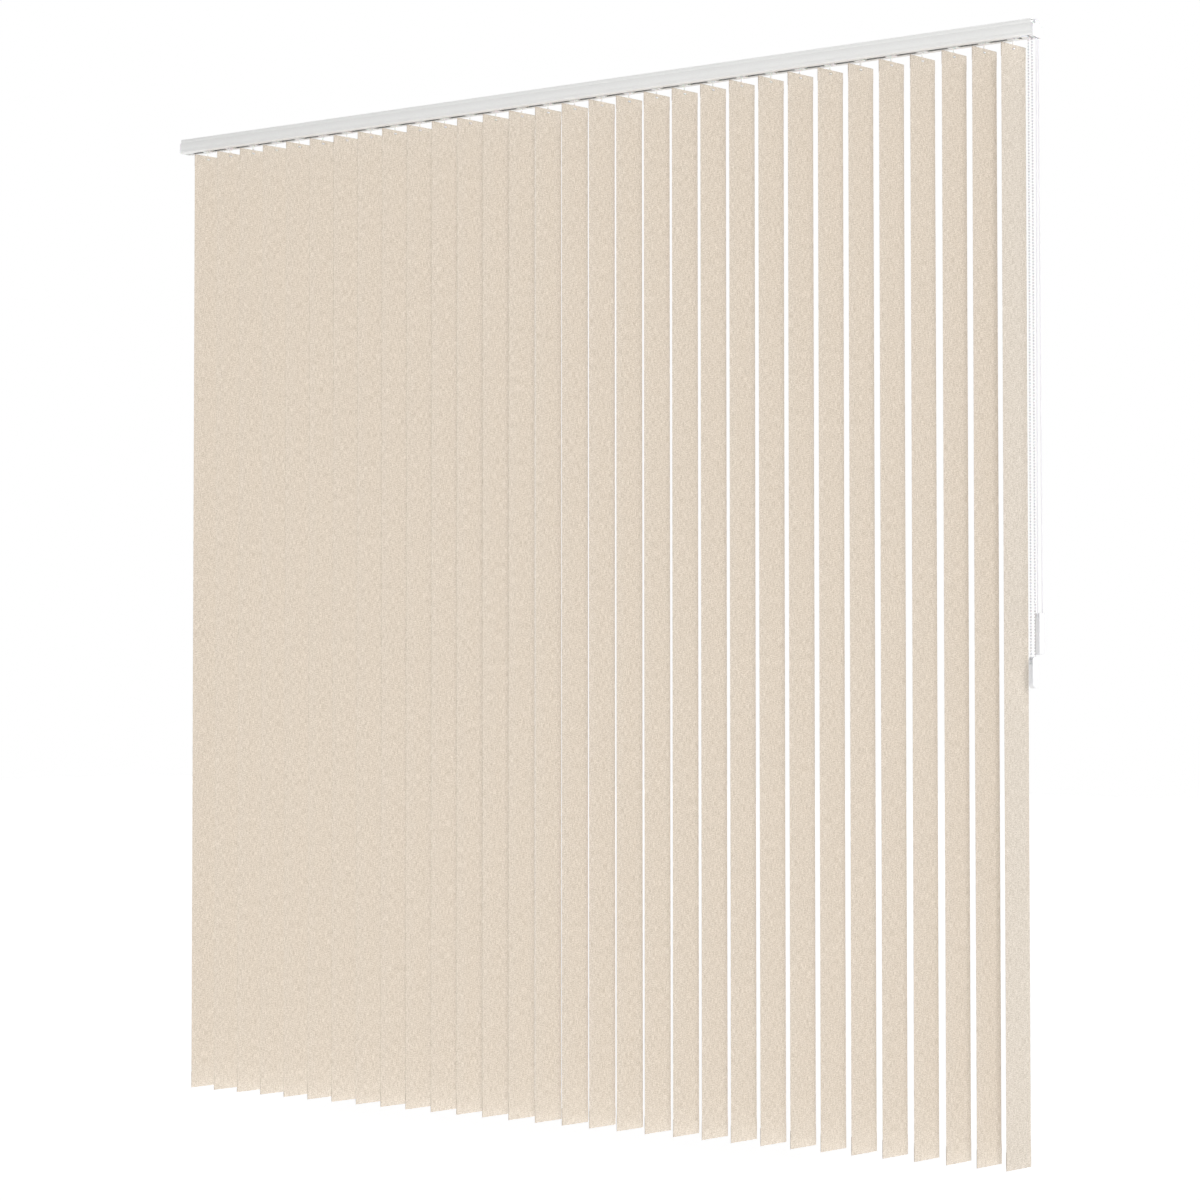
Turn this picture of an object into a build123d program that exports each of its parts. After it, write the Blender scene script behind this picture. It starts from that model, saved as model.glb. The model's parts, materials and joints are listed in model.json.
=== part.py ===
"""Vertical blind with thirty-one fabric slats, a bead chain that tilts them and a cord that draws them.

Millimetres. The origin is the middle of the headrail's top, at the ceiling. +X runs along the rail
towards the controls, +Y to the window behind the blind, +Z up.
"""

from build123d import *
from math import cos, pi, sin, tan
import os

# ---- overall sizes -------------------------------------------------------------------------
BLIND_WIDTH = 2512.0  # over both end caps
RAIL_DEPTH = 45.0
RAIL_HEIGHT = 36.0
RAIL_WALL = 1.3
SLAT_GAP = 12.2  # from the rail's underside to the slats' top edge
SLAT_DROP = 2462.8  # top edge to bottom edge of a slat
SLAT_WIDTH = 89.0
SLAT_COUNT = 31
REST_ANGLE = 80.2  # the slats' turn from the plane of the blind

# ---- where the slats hang ------------------------------------------------------------------
LEFT_MARGIN = 81.2  # from the left end to the first slat's axis
RIGHT_MARGIN = 58.6  # from the last slat's axis to the right end
LAST_GAPS = (75.0, 71.3)  # the last two gaps, next to the controls, are closed up

# ---- headrail ------------------------------------------------------------------------------
END_CAP_PROUD = 4.6  # a cap's plate beyond the rail's cut end
LIP_THICK = 1.5
LIP_OPENING = 21.0  # between the two top lips
TOP_CHANNEL_DEPTH = 7.0
BOTTOM_LEDGE = 1.5
BOTTOM_SLOT = 16.0
BOTTOM_CHAMFER = 2.5
GROOVE_DEPTH = 0.35
GROOVE_HEIGHT = 0.9
GROOVE_DROPS = (2.0, 8.0, 26.6, 32.4)  # fine lines along both faces, below the top
LEDGE_CUTAWAY = 34.0  # ledges cut back here for the control housing

# ---- end fittings --------------------------------------------------------------------------
CAP_SHOULDER = 9.6  # the cap's two shoulders are this far below the rail's top
CAP_TONGUE = 10.0  # half width of the tongue that fills the clip channel
CAP_PLATE = 2.4
WEB_GAP = 0.2  # an end fitting's top under the rail's web
WALL_GAP = 0.3  # an end fitting's sides inside the rail's walls
CAP_REACH = 22.0  # the left fitting's shelf along the rail
SHELF_TOP = -26.0
SHELF_BOTTOM = -28.0
HOUSING_PROUD = 2.0  # the control housing's base below the rail
BEARING_FROM_END = 22.0
BEARING_THICK = 2.0
BUSH_RADIUS = 4.0
SLOT_MARGIN = 0.65  # an outlet's edge to the chain or cord in it
SCREW_RADIUS = 1.5
SCREW_HOLE_CLEARANCE = 0.1
SCREW_HEAD_RADIUS = 2.8
SCREW_HEAD = 2.2
SCREW_REACH = 8.0
SCREW_FROM_ENDS = (11.4, 22.9)  # the left and right screws from the rail's cut ends
SCREW_Y = (-16.0, -15.0)

# ---- tilt drive ----------------------------------------------------------------------------
ROD_Y = -8.5
ROD_DROP = 20.5  # the rod's axis below the rail's top
ROD_RADIUS = 2.5
ROD_KEYWAYS = 3
KEYWAY_RADIUS = 0.5
WORM_RADIUS = 3.6
WORM_LENGTH = 12.0
RUN_CLEARANCE = 0.08  # a shaft in its bore
MESH_CLEARANCE = 0.3  # moving plastic parts past each other
ROPE_CLEARANCE = 0.15  # a rope's surface above its pulley's root
POCKET_CLEARANCE = 0.2  # a bead in its pocket
PINION_TEETH = 12
PINION_RADIUS = -ROD_Y - WORM_RADIUS - MESH_CLEARANCE
PINION_ROOT = PINION_RADIUS - 1.0
PINION_HEIGHT = 7.6

# ---- carriers ------------------------------------------------------------------------------
CARRIER_LENGTH = 26.0
CARRIER_TOP_GAP = 1.4
WHEEL_RADIUS = 4.2
WHEEL_WIDTH = 3.5
WHEEL_BORE = 1.5
WHEEL_INNER_Y = 10.3
WHEEL_SPACING = 18.0
SNOUT_RADIUS = 4.2
SNOUT_DROP = 3.2  # the carrier's snout below the rail
STEM_RADIUS = 1.9
JOURNAL_RADIUS = 1.6  # the pinion's top pivot
LINK_THICK = 0.4
LINK_WIDTH = 5.0
CARRIER_FLANGE = 1.2  # the carrier's base below the rail

# ---- slats ---------------------------------------------------------------------------------
PLY = 0.45
POCKET_GAP = 0.9
TOP_POCKET = 30.0
BOTTOM_POCKET = 40.0
PLATE_THICK = 0.75
PLATE_WIDTH = 84.0
EYELET_DROP = 8.5  # the hook hole's centre below the slat's top edge
EYELET_WIDTH = 11.0
EYELET_HEIGHT = 5.0
PRONG_WIDTH = 5.4
PRONG_THICK = 1.4
BARB_WIDTH = 8.6
BARB_HEIGHT = 3.4
BARB_PROUD = 0.9  # the barb's nose beyond the slat's far face
PRONG_GAP = 0.15  # the prong's face behind the slat
PRONG_BELOW_EYELET = 3.4
NECK = (1.2, 4.4)  # the holder's neck above the slat, where the prong steps behind it
PLATE_GAP = 0.1  # a plate's edge inside its fold
SEAM = 1.5  # a pocket's welded seam
PLATE_FROM_SEAM = 2.0

# ---- bead chain ----------------------------------------------------------------------------
BEAD_DIAMETER = 4.5
BEAD_PITCH = 6.7
SPROCKET_POCKETS = 8
CHAIN_WHEEL_POCKETS = 10
CHAIN_FROM_END = 13.5  # the chain's plane from the right end
SPROCKET_FLANGE = 10.0
SPROCKET_WIDTH = 7.0
CHAIN_WEIGHT_SIZE = (10.8, 24.5, 68.6)
CHAIN_WEIGHT_TOP = -1396.3
CHAIN_WHEEL_DROP = 11.0
CHAIN_WEIGHT_CORNERS = (7.0, 11.5)  # radii of its top and bottom corners, seen from the side
CHAIN_WHEEL_WIDTH = 5.9
CHAIN_WHEEL_FLANGE = 9.6
CHAIN_ROOM_HALF = 3.15
CHAIN_SLOT_DROP = 13.0
CHAIN_JOIN = 0.5  # half the gap where the chain's two ends meet over the sprocket

# ---- draw cord -----------------------------------------------------------------------------
CORD_DIAMETER = 2.5
CORD_FROM_END = 5.3
CORD_FRONT_Y = 4.6
CORD_REAR_Y = 14.0
CORD_DROP = 12.0  # the cord's runs below the rail's top
CORD_PULLEY_RADIUS = 5.5  # at the cord's centre line
WEIGHT_PULLEY_RADIUS = 11.5
IDLER_FROM_END = 16.0
CORD_WEIGHT_SIZE = (10.6, 26.5, 91.3)
CORD_WEIGHT_TOP = -1300.8
WEIGHT_PULLEY_DROP = 13.0
CORD_WEIGHT_CORNERS = (2.5, 5.0)
WEIGHT_PULLEY_WIDTH = 4.4
WEIGHT_PULLEY_FLANGE = 12.3
CORD_ROOM_HALF = 2.5
CORD_SLOT_DROP = 12.0
KNOT_HALF = 6.0
AXLE_HALF = 4.4
SLUG_HALF = 2.6
SLUG_SIDE_WALL = 4.5
SLUG_FLOOR = 8.0
SLUG_FROM_ROOM = 2.5
PULLEY_WIDTH = 4.0
AXLE_RADIUS = 1.5

# ---- ceiling clips -------------------------------------------------------------------------
CLIP_SPACINGS = (760.0, 2280.0)  # between the inner pair and between the outer pair
CLIP_LENGTH = 18.0
CLIP_REACH = 18.0
CLIP_PLATE = 1.5
CLIP_HOLE_RADIUS = 2.25

# ---- places worked out from the sizes ------------------------------------------------------
RIGHT_END = BLIND_WIDTH / 2
LEFT_END = -BLIND_WIDTH / 2
RAIL_RIGHT = RIGHT_END - END_CAP_PROUD
RAIL_LEFT = LEFT_END + END_CAP_PROUD
HALF_DEPTH = RAIL_DEPTH / 2
INNER_Y = HALF_DEPTH - RAIL_WALL
WEB_BOTTOM = -TOP_CHANNEL_DEPTH - RAIL_WALL
LEDGE_TOP = -RAIL_HEIGHT + BOTTOM_LEDGE
LEDGE_FLAT_Y = HALF_DEPTH - BOTTOM_CHAMFER - RAIL_WALL * tan(pi / 8)
ROD_Z = -ROD_DROP
CORD_Z = -CORD_DROP
CHAIN_X = RIGHT_END - CHAIN_FROM_END
CORD_X = RIGHT_END - CORD_FROM_END
CORD_MID_Y = (CORD_FRONT_Y + CORD_REAR_Y) / 2
IDLER_X = LEFT_END + IDLER_FROM_END
IDLER_RADIUS = (CORD_REAR_Y - CORD_FRONT_Y) / 2
CORD_RADIUS = CORD_DIAMETER / 2
BEAD_RADIUS = BEAD_DIAMETER / 2
SPROCKET_RADIUS = SPROCKET_POCKETS * BEAD_PITCH / (2 * pi)
CHAIN_WHEEL_RADIUS = CHAIN_WHEEL_POCKETS * BEAD_PITCH / (2 * pi)
CHAIN_WHEEL_Z = CHAIN_WEIGHT_TOP - CHAIN_WHEEL_DROP
WEIGHT_PULLEY_Z = CORD_WEIGHT_TOP - WEIGHT_PULLEY_DROP
SLAT_TOP = -RAIL_HEIGHT - SLAT_GAP
SLAT_BOTTOM = SLAT_TOP - SLAT_DROP
FIRST_AXIS = LEFT_END + LEFT_MARGIN
LAST_AXIS = RIGHT_END - RIGHT_MARGIN
EVEN_PITCH = (LAST_AXIS - FIRST_AXIS - sum(LAST_GAPS)) / (SLAT_COUNT - 1 - len(LAST_GAPS))
AXES = [FIRST_AXIS + EVEN_PITCH * i for i in range(SLAT_COUNT - len(LAST_GAPS))]
for gap in LAST_GAPS:
    AXES.append(AXES[-1] + gap)
LEAD_AXIS = AXES[0]
END_SCREWS = [(RAIL_LEFT + SCREW_FROM_ENDS[0], SCREW_Y[0]), (RAIL_RIGHT - SCREW_FROM_ENDS[1], SCREW_Y[1])]
HOUSING_BASE = -RAIL_HEIGHT - HOUSING_PROUD
HOUSING_HALF = LEDGE_FLAT_Y - 0.15
BEARING_X = RIGHT_END - BEARING_FROM_END
PULLEY_X = CORD_X - CORD_PULLEY_RADIUS
PULLEY_AXLE_Z = CORD_Z - CORD_PULLEY_RADIUS
WHEEL_Z = LEDGE_TOP + WHEEL_RADIUS + 0.05
CARRIER_TOP = WEB_BOTTOM - CARRIER_TOP_GAP
CARRIER_FLOOR = WHEEL_Z + WHEEL_RADIUS + 0.25
SNOUT_BOTTOM = -RAIL_HEIGHT - SNOUT_DROP
HUB_HALF = BOTTOM_SLOT / 2 - 1
POCKET_FACE = POCKET_GAP / 2 + PLY
EYELET = SLAT_TOP - EYELET_DROP

os.makedirs("parts", exist_ok=True)


# ---- small helpers -------------------------------------------------------------------------
def block(x0, x1, y0, y1, z0, z1):
    """A box between two corners."""
    return Pos((x0 + x1) / 2, (y0 + y1) / 2, (z0 + z1) / 2) * Box(x1 - x0, y1 - y0, z1 - z0)


def bar_x(x0, x1, y, z, radius):
    """A round bar along X."""
    return Pos((x0 + x1) / 2, y, z) * Rot(0, 90, 0) * Cylinder(radius, x1 - x0)


def bar_y(y0, y1, x, z, radius):
    """A round bar along Y."""
    return Pos(x, (y0 + y1) / 2, z) * Rot(90, 0, 0) * Cylinder(radius, y1 - y0)


def bar_z(z0, z1, x, y, radius):
    """A round bar along Z."""
    return Pos(x, y, (z0 + z1) / 2) * Cylinder(radius, z1 - z0)


def along_x(points, x0, x1):
    """A prism with an outline in Y and Z, from x0 to x1."""
    face = make_face(Polyline([(x0, y, z) for y, z in points], close=True))
    return extrude(face, amount=x1 - x0, dir=(1, 0, 0))


def mirrored(points):
    """An outline in Y and Z made whole by its mirror image in Y."""
    return points + [(-y, z) for y, z in reversed(points)]


def save(node, *pieces):
    """Writes a node's separate solids to its own file."""
    solids = [s for piece in pieces for s in piece.solids()]
    export_step(Compound(children=solids) if len(solids) > 1 else solids[0], f"parts/{node}.step")


def pulley(radius, rope_radius, width, flange, bore):
    """A grooved wheel on Z, running clear of a rope whose centre line has that radius."""
    root = radius - rope_radius - ROPE_CLEARANCE
    half = rope_radius + POCKET_CLEARANCE
    groove = Cylinder(flange + 1, 2 * half) - Cylinder(root, 2 * half)
    return Cylinder(flange, width) - groove - Cylinder(bore, width + 1)


def chain_wheel(radius, pockets, core_half, width, flange, bore):
    """A pocketed wheel on Z for the bead chain, its lands running just below the chain."""
    core = radius - BEAD_RADIUS - 0.18
    wheel = Cylinder(flange, width) - (Cylinder(flange + 1, 2 * core_half) - Cylinder(core, 2 * core_half))
    for k in range(pockets):
        angle = 2 * pi * k / pockets
        at = radius - 0.4
        wheel -= Pos(at * cos(angle), at * sin(angle), 0) * Sphere(BEAD_RADIUS + POCKET_CLEARANCE)
    return wheel - Cylinder(bore, width + 1)


# ---- headrail ------------------------------------------------------------------------------
def headrail():
    """One extrusion: clip channel on top, a chamber for the carriers, and two ledges they roll on."""
    outer = mirrored([(HALF_DEPTH, 0), (HALF_DEPTH, -RAIL_HEIGHT + BOTTOM_CHAMFER),
                      (HALF_DEPTH - BOTTOM_CHAMFER, -RAIL_HEIGHT)])
    rise = HALF_DEPTH - BOTTOM_CHAMFER - LEDGE_FLAT_Y
    inner_corner = -RAIL_HEIGHT + BOTTOM_CHAMFER + rise
    chamber = mirrored([(INNER_Y, WEB_BOTTOM), (INNER_Y, inner_corner), (LEDGE_FLAT_Y, LEDGE_TOP)])
    rail = along_x(outer, RAIL_LEFT, RAIL_RIGHT) - along_x(chamber, RAIL_LEFT, RAIL_RIGHT)
    opening = LIP_OPENING / 2
    rail -= block(RAIL_LEFT, RAIL_RIGHT, -opening, opening, -LIP_THICK, 0)
    rail -= block(RAIL_LEFT, RAIL_RIGHT, -INNER_Y, INNER_Y, -TOP_CHANNEL_DEPTH, -LIP_THICK)
    rail -= block(RAIL_LEFT, RAIL_RIGHT, -BOTTOM_SLOT / 2, BOTTOM_SLOT / 2, -RAIL_HEIGHT, LEDGE_TOP)
    rail -= block(RIGHT_END - LEDGE_CUTAWAY, RAIL_RIGHT, -LEDGE_FLAT_Y, LEDGE_FLAT_Y, -RAIL_HEIGHT, LEDGE_TOP)
    for drop in GROOVE_DROPS:
        for side in (-1, 1):
            edge = side * HALF_DEPTH
            low, high = sorted((edge, edge - side * GROOVE_DEPTH))
            rail -= block(RAIL_LEFT, RAIL_RIGHT, low, high, -drop - GROOVE_HEIGHT, -drop)
    for x, y in END_SCREWS:
        rail -= bar_z(WEB_BOTTOM - 1, 0, x, y, SCREW_RADIUS + SCREW_HOLE_CLEARANCE)
    return rail


def end_screw(x, y):
    """A self-tapping screw through the rail's web into an end fitting."""
    head = bar_z(-TOP_CHANNEL_DEPTH, -TOP_CHANNEL_DEPTH + SCREW_HEAD, x, y, SCREW_HEAD_RADIUS)
    cross = block(x - 1.7, x + 1.7, y - 0.4, y + 0.4, -TOP_CHANNEL_DEPTH + 1.2, 0)
    cross += block(x - 0.4, x + 0.4, y - 1.7, y + 1.7, -TOP_CHANNEL_DEPTH + 1.2, 0)
    return head - cross + bar_z(WEB_BOTTOM - SCREW_REACH, -TOP_CHANNEL_DEPTH, x, y, SCREW_RADIUS)


# ---- end fittings --------------------------------------------------------------------------
def cap_outline(bottom):
    """The end view of a cap: the rail's section with its two top corners left open."""
    return mirrored([(CAP_TONGUE, 0), (CAP_TONGUE, -CAP_SHOULDER), (HALF_DEPTH, -CAP_SHOULDER),
                     (HALF_DEPTH, -RAIL_HEIGHT + BOTTOM_CHAMFER),
                     (HALF_DEPTH - BOTTOM_CHAMFER, bottom)])


def idler_cap():
    """Left end fitting, one moulding: the plate, a shelf with the idler's post, and the rod's bearing."""
    cap = along_x(cap_outline(-RAIL_HEIGHT), LEFT_END, RAIL_LEFT)
    side = INNER_Y - WALL_GAP
    cap += block(RAIL_LEFT, RAIL_LEFT + CAP_REACH, -side, side, SHELF_BOTTOM, SHELF_TOP)
    cap += block(RAIL_LEFT, RAIL_LEFT + CAP_REACH, -6.5, 6.5, LEDGE_TOP, SHELF_BOTTOM)
    cap += block(RAIL_LEFT, RAIL_LEFT + 7, ROD_Y - 5.5, ROD_Y + 5.5, SHELF_BOTTOM, ROD_Z + 5.5)
    screw_x, screw_y = END_SCREWS[0]
    cap += block(RAIL_LEFT, screw_x + 4, -side, screw_y + 3.5, SHELF_BOTTOM, WEB_BOTTOM - WEB_GAP)
    cap += bar_z(SHELF_TOP, CORD_Z - PULLEY_WIDTH / 2 - MESH_CLEARANCE, IDLER_X, CORD_MID_Y, 3.2)
    cap += bar_z(SHELF_TOP, WEB_BOTTOM - WEB_GAP, IDLER_X, CORD_MID_Y, AXLE_RADIUS)
    cap -= bar_x(RAIL_LEFT + 1, RAIL_LEFT + 8, ROD_Y, ROD_Z, ROD_RADIUS + RUN_CLEARANCE)
    cap -= bar_x(RAIL_LEFT + 4.6, RAIL_LEFT + 8, ROD_Y, ROD_Z, BUSH_RADIUS)
    return cap - bar_z(WEB_BOTTOM - SCREW_REACH, 0, screw_x, screw_y, SCREW_RADIUS)


def control_housing():
    """Right end fitting inside the rail: base with the outlets, bearing wall and pulley posts."""
    left = RIGHT_END - LEDGE_CUTAWAY
    rim_end = RIGHT_END - CAP_PLATE
    body = block(left, RAIL_RIGHT, -HOUSING_HALF, HOUSING_HALF, HOUSING_BASE, LEDGE_TOP)
    body += along_x(cap_outline(HOUSING_BASE), RAIL_RIGHT, rim_end)
    body -= block(RAIL_RIGHT, rim_end, -HOUSING_HALF + 1, HOUSING_HALF - 1, LEDGE_TOP, WEB_BOTTOM - 2)
    top = WEB_BOTTOM - WEB_GAP
    wall = INNER_Y - 0.25
    for side in (-1, 1):
        low, high = sorted((side * wall, side * (HOUSING_HALF + 0.15)))
        body += block(left, RAIL_RIGHT, low, high, -32.4, top)
    body += block(left, RAIL_RIGHT, HOUSING_HALF - 0.6, wall, -34.5, -31.5) - block(
        left, RAIL_RIGHT, LEDGE_FLAT_Y, wall + 1, -40, -32.4)
    body += block(BEARING_X, BEARING_X + BEARING_THICK, -wall, wall, -32.4, top)
    body += block(BEARING_X, BEARING_X + BEARING_THICK, -HOUSING_HALF, HOUSING_HALF, LEDGE_TOP, -32.4)
    inner = PULLEY_WIDTH / 2 + MESH_CLEARANCE + 0.1
    post_top = PULLEY_AXLE_Z + 3.5
    for low, high in ((CORD_FRONT_Y + inner, CORD_REAR_Y - inner), (CORD_REAR_Y + inner, HOUSING_HALF)):
        body += block(PULLEY_X - 2.5, PULLEY_X + 2.5, low, high, LEDGE_TOP, post_top)
    screw_x, screw_y = END_SCREWS[1]
    body += block(left, screw_x + 4.5, -wall, screw_y + 4, -16.2, top)
    # holes: axle, rod bearing, screw, the two cord runs, and the two outlets in the base
    body -= bar_y(CORD_FRONT_Y, HOUSING_HALF + 1, PULLEY_X, PULLEY_AXLE_Z, AXLE_RADIUS)
    body -= bar_x(BEARING_X, BEARING_X + BEARING_THICK, ROD_Y, ROD_Z, BUSH_RADIUS)
    body -= bar_z(WEB_BOTTOM - SCREW_REACH, 0, screw_x, screw_y, SCREW_RADIUS)
    for y in (CORD_FRONT_Y, CORD_REAR_Y):
        body -= bar_x(BEARING_X, BEARING_X + BEARING_THICK, y, CORD_Z, CORD_RADIUS + 0.6)
    reach = SPROCKET_RADIUS + BEAD_RADIUS + 0.3
    half = BEAD_RADIUS + SLOT_MARGIN
    body -= block(CHAIN_X - half, CHAIN_X + half, ROD_Y - reach, ROD_Y + reach, HOUSING_BASE, LEDGE_TOP)
    half = CORD_RADIUS + SLOT_MARGIN
    body -= block(CORD_X - half, CORD_X + half, -HOUSING_HALF + 2.5, CORD_REAR_Y + 2.2, HOUSING_BASE, LEDGE_TOP)
    return body


def control_cap():
    """The cover plate that closes the right end."""
    return along_x(cap_outline(HOUSING_BASE), RIGHT_END - CAP_PLATE, RIGHT_END)


def rod_bush(x0, x1):
    """A plain bush round the rod's end."""
    ring = bar_x(x0, x1, ROD_Y, ROD_Z, BUSH_RADIUS)
    return ring - bar_x(x0, x1, ROD_Y, ROD_Z, ROD_RADIUS + RUN_CLEARANCE)


# ---- tilt drive ----------------------------------------------------------------------------
def tilt_rod():
    """The drawn rod, with three keyways that turn every worm."""
    rod = bar_x(RAIL_LEFT + 1.5, RAIL_RIGHT + 0.6, ROD_Y, ROD_Z, ROD_RADIUS)
    for k in range(ROD_KEYWAYS):
        angle = 2 * pi * k / ROD_KEYWAYS
        y = ROD_Y + ROD_RADIUS * cos(angle)
        z = ROD_Z + ROD_RADIUS * sin(angle)
        rod -= bar_x(RAIL_LEFT + 9, BEARING_X - 1, y, z, KEYWAY_RADIUS)
    return rod


def worm(x):
    """A carrier's worm, its thread left off: a sleeve that slides on the rod and turns with it."""
    sleeve = bar_x(x - WORM_LENGTH / 2, x + WORM_LENGTH / 2, ROD_Y, ROD_Z, WORM_RADIUS)
    return sleeve - bar_x(x - WORM_LENGTH, x + WORM_LENGTH, ROD_Y, ROD_Z, ROD_RADIUS)


def on_x(shape, x, y, z):
    """A wheel made on Z, set on an axle along X."""
    return Pos(x, y, z) * Rot(0, 90, 0) * shape


# ---- carriers ------------------------------------------------------------------------------
def carrier(x):
    """One moulded carrier: worm and pinion chambers, cord guides, stub axles and the snout."""
    x0, x1 = x - CARRIER_LENGTH / 2, x + CARRIER_LENGTH / 2
    body = block(x0, x1, ROD_Y - 5.1, HUB_HALF, CARRIER_FLOOR, CARRIER_TOP)
    body += block(x0, x1, HUB_HALF, CORD_REAR_Y + 3, CORD_Z - 3, CARRIER_TOP)
    body += block(x0, x1, -HUB_HALF, HUB_HALF, -RAIL_HEIGHT - CARRIER_FLANGE, CARRIER_FLOOR)
    body += bar_z(SNOUT_BOTTOM, -RAIL_HEIGHT - CARRIER_FLANGE, x, 0, SNOUT_RADIUS)
    for side in (-1, 1):
        for end in (-1, 1):
            low, high = sorted((side * HUB_HALF, side * (WHEEL_INNER_Y + WHEEL_WIDTH + 0.7)))
            body += bar_y(low, high, x + end * WHEEL_SPACING / 2, WHEEL_Z, WHEEL_BORE - 0.1)
    chamber = WORM_LENGTH / 2 + MESH_CLEARANCE
    body -= bar_x(x - chamber, x + chamber, ROD_Y, ROD_Z, WORM_RADIUS + MESH_CLEARANCE)
    body -= block(x - chamber, x + chamber, ROD_Y - WORM_RADIUS - MESH_CLEARANCE,
                  ROD_Y + WORM_RADIUS + MESH_CLEARANCE, CARRIER_FLOOR, ROD_Z)
    body -= bar_x(x0, x1, ROD_Y, ROD_Z, ROD_RADIUS + MESH_CLEARANCE)
    half = PINION_HEIGHT / 2 + MESH_CLEARANCE
    body -= bar_z(ROD_Z - half, ROD_Z + half, x, 0, PINION_RADIUS + MESH_CLEARANCE)
    body -= bar_z(SNOUT_BOTTOM, ROD_Z - half, x, 0, STEM_RADIUS + RUN_CLEARANCE)
    body -= bar_z(ROD_Z + half, ROD_Z + half + 2.7, x, 0, JOURNAL_RADIUS + RUN_CLEARANCE)
    for y in (CORD_FRONT_Y, CORD_REAR_Y):
        body -= bar_x(x0, x1, y, CORD_Z, CORD_RADIUS + 0.45)
    return body


def carrier_wheels(x):
    """The four wheels of one carrier."""
    wheels = []
    for side in (-1, 1):
        for end in (-1, 1):
            low, high = sorted((side * WHEEL_INNER_Y, side * (WHEEL_INNER_Y + WHEEL_WIDTH)))
            at = x + end * WHEEL_SPACING / 2
            wheel = bar_y(low, high, at, WHEEL_Z, WHEEL_RADIUS)
            wheels.append(wheel - bar_y(low, high, at, WHEEL_Z, WHEEL_BORE))
    return wheels


def spacer_link(i):
    """A spring strip from one carrier to the next, which sets the widest gap."""
    y = ROD_Y + 2.0 + (i % 2) * (LINK_WIDTH + 1.5)
    return block(AXES[i] - 9, AXES[i + 1] + 9, y - LINK_WIDTH / 2, y + LINK_WIDTH / 2,
                 CARRIER_TOP, CARRIER_TOP + LINK_THICK)


# ---- slats ---------------------------------------------------------------------------------
def slat_holder():
    """The slat's holder on Z: pinion, stem, and behind the slat a prong whose barb goes through the eyelet."""
    half = PINION_HEIGHT / 2
    gear = bar_z(ROD_Z - half, ROD_Z + half, 0, 0, PINION_RADIUS)
    for k in range(PINION_TEETH):
        angle = 2 * pi * (k + 0.5) / PINION_TEETH
        notch = bar_z(ROD_Z - half, ROD_Z + half, PINION_RADIUS * cos(angle), PINION_RADIUS * sin(angle),
                      (PINION_RADIUS - PINION_ROOT) * 0.85)
        gear -= notch
    neck_bottom, neck_top = SLAT_TOP + NECK[0], SLAT_TOP + NECK[1]
    holder = gear + bar_z(neck_bottom, ROD_Z - half, 0, 0, STEM_RADIUS)
    holder += bar_z(ROD_Z + half, ROD_Z + half + 2.4, 0, 0, JOURNAL_RADIUS)
    inner = POCKET_FACE + PRONG_GAP
    outer = inner + PRONG_THICK
    holder += block(-STEM_RADIUS, STEM_RADIUS, 0, outer, neck_bottom, neck_top)
    holder += block(-PRONG_WIDTH / 2, PRONG_WIDTH / 2, inner, outer, EYELET - PRONG_BELOW_EYELET, neck_top)
    return holder + block(-BARB_WIDTH / 2, BARB_WIDTH / 2, -POCKET_FACE - BARB_PROUD, inner,
                          EYELET - BARB_HEIGHT / 2, EYELET + BARB_HEIGHT / 2)


def fabric():
    """The slat's cloth, hemmed into a flat pocket at the top and at the bottom."""
    half = SLAT_WIDTH / 2
    cloth = block(-half, half, -PLY / 2, PLY / 2, SLAT_BOTTOM + 1, SLAT_TOP - 1)
    cloth += block(-half, half, -POCKET_FACE, POCKET_FACE, SLAT_TOP - TOP_POCKET, SLAT_TOP)
    cloth += block(-half, half, -POCKET_FACE, POCKET_FACE, SLAT_BOTTOM, SLAT_BOTTOM + BOTTOM_POCKET)
    gap = POCKET_GAP / 2
    cloth -= block(-half, half, -gap, gap, SLAT_TOP - TOP_POCKET + SEAM, SLAT_TOP - PLY)
    cloth -= block(-half, half, -gap, gap, SLAT_BOTTOM + PLY, SLAT_BOTTOM + BOTTOM_POCKET - SEAM)
    return cloth - eyelet_cut(EYELET_WIDTH, EYELET_HEIGHT)


def eyelet_cut(width, height):
    """A slot through the slat's top for the holder's barb."""
    return block(-width / 2, width / 2, -POCKET_FACE, POCKET_FACE, EYELET - height / 2, EYELET + height / 2)


def hanger_plate():
    """The stiffener in the top pocket, with its own eyelet."""
    half, thick = PLATE_WIDTH / 2, PLATE_THICK / 2
    low = SLAT_TOP - TOP_POCKET + SEAM + PLATE_FROM_SEAM
    plate = block(-half, half, -thick, thick, low, SLAT_TOP - PLY - PLATE_GAP)
    return plate - eyelet_cut(EYELET_WIDTH - 2, EYELET_HEIGHT - 1)


def bottom_weight():
    """The steel strip in the bottom pocket that keeps the slat straight."""
    half, thick = PLATE_WIDTH / 2, PLATE_THICK / 2
    high = SLAT_BOTTOM + BOTTOM_POCKET - SEAM - PLATE_FROM_SEAM
    return block(-half, half, -thick, thick, SLAT_BOTTOM + PLY + PLATE_GAP, high)


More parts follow.
